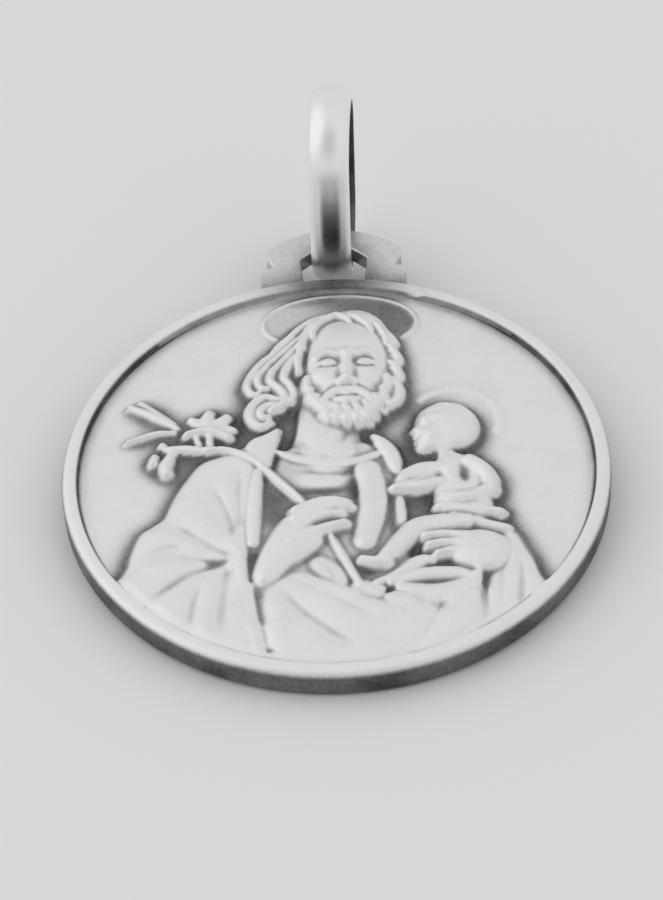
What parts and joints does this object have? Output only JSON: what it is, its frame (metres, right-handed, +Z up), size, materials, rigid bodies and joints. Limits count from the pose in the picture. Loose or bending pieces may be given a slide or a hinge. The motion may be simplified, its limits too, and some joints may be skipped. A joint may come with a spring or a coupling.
{
  "type": "religious medal pendant",
  "caption": "Round silver medal with a raised relief of a haloed saint holding a child and a lily, a pierced crest on top and an oval bail for a chain.",
  "frame": {"origin": "On the surface the medal lies on, below the middle of the whole pendant.", "axes": "+Z is up, +Y runs up the face from the figure's feet to the crest, +X is to the right of someone who looks at the face."},
  "size_m": [0.02, 0.0254, 0.0086],
  "materials": {
    "silver": "antique silver: satin bright high spots, dark grey patina in the recesses",
    "bail_silver": "polished silver, softly worn"
  },
  "bodies": {
    "root": {"medal": "silver", "bail": "bail_silver"}
  },
  "joints": []
}
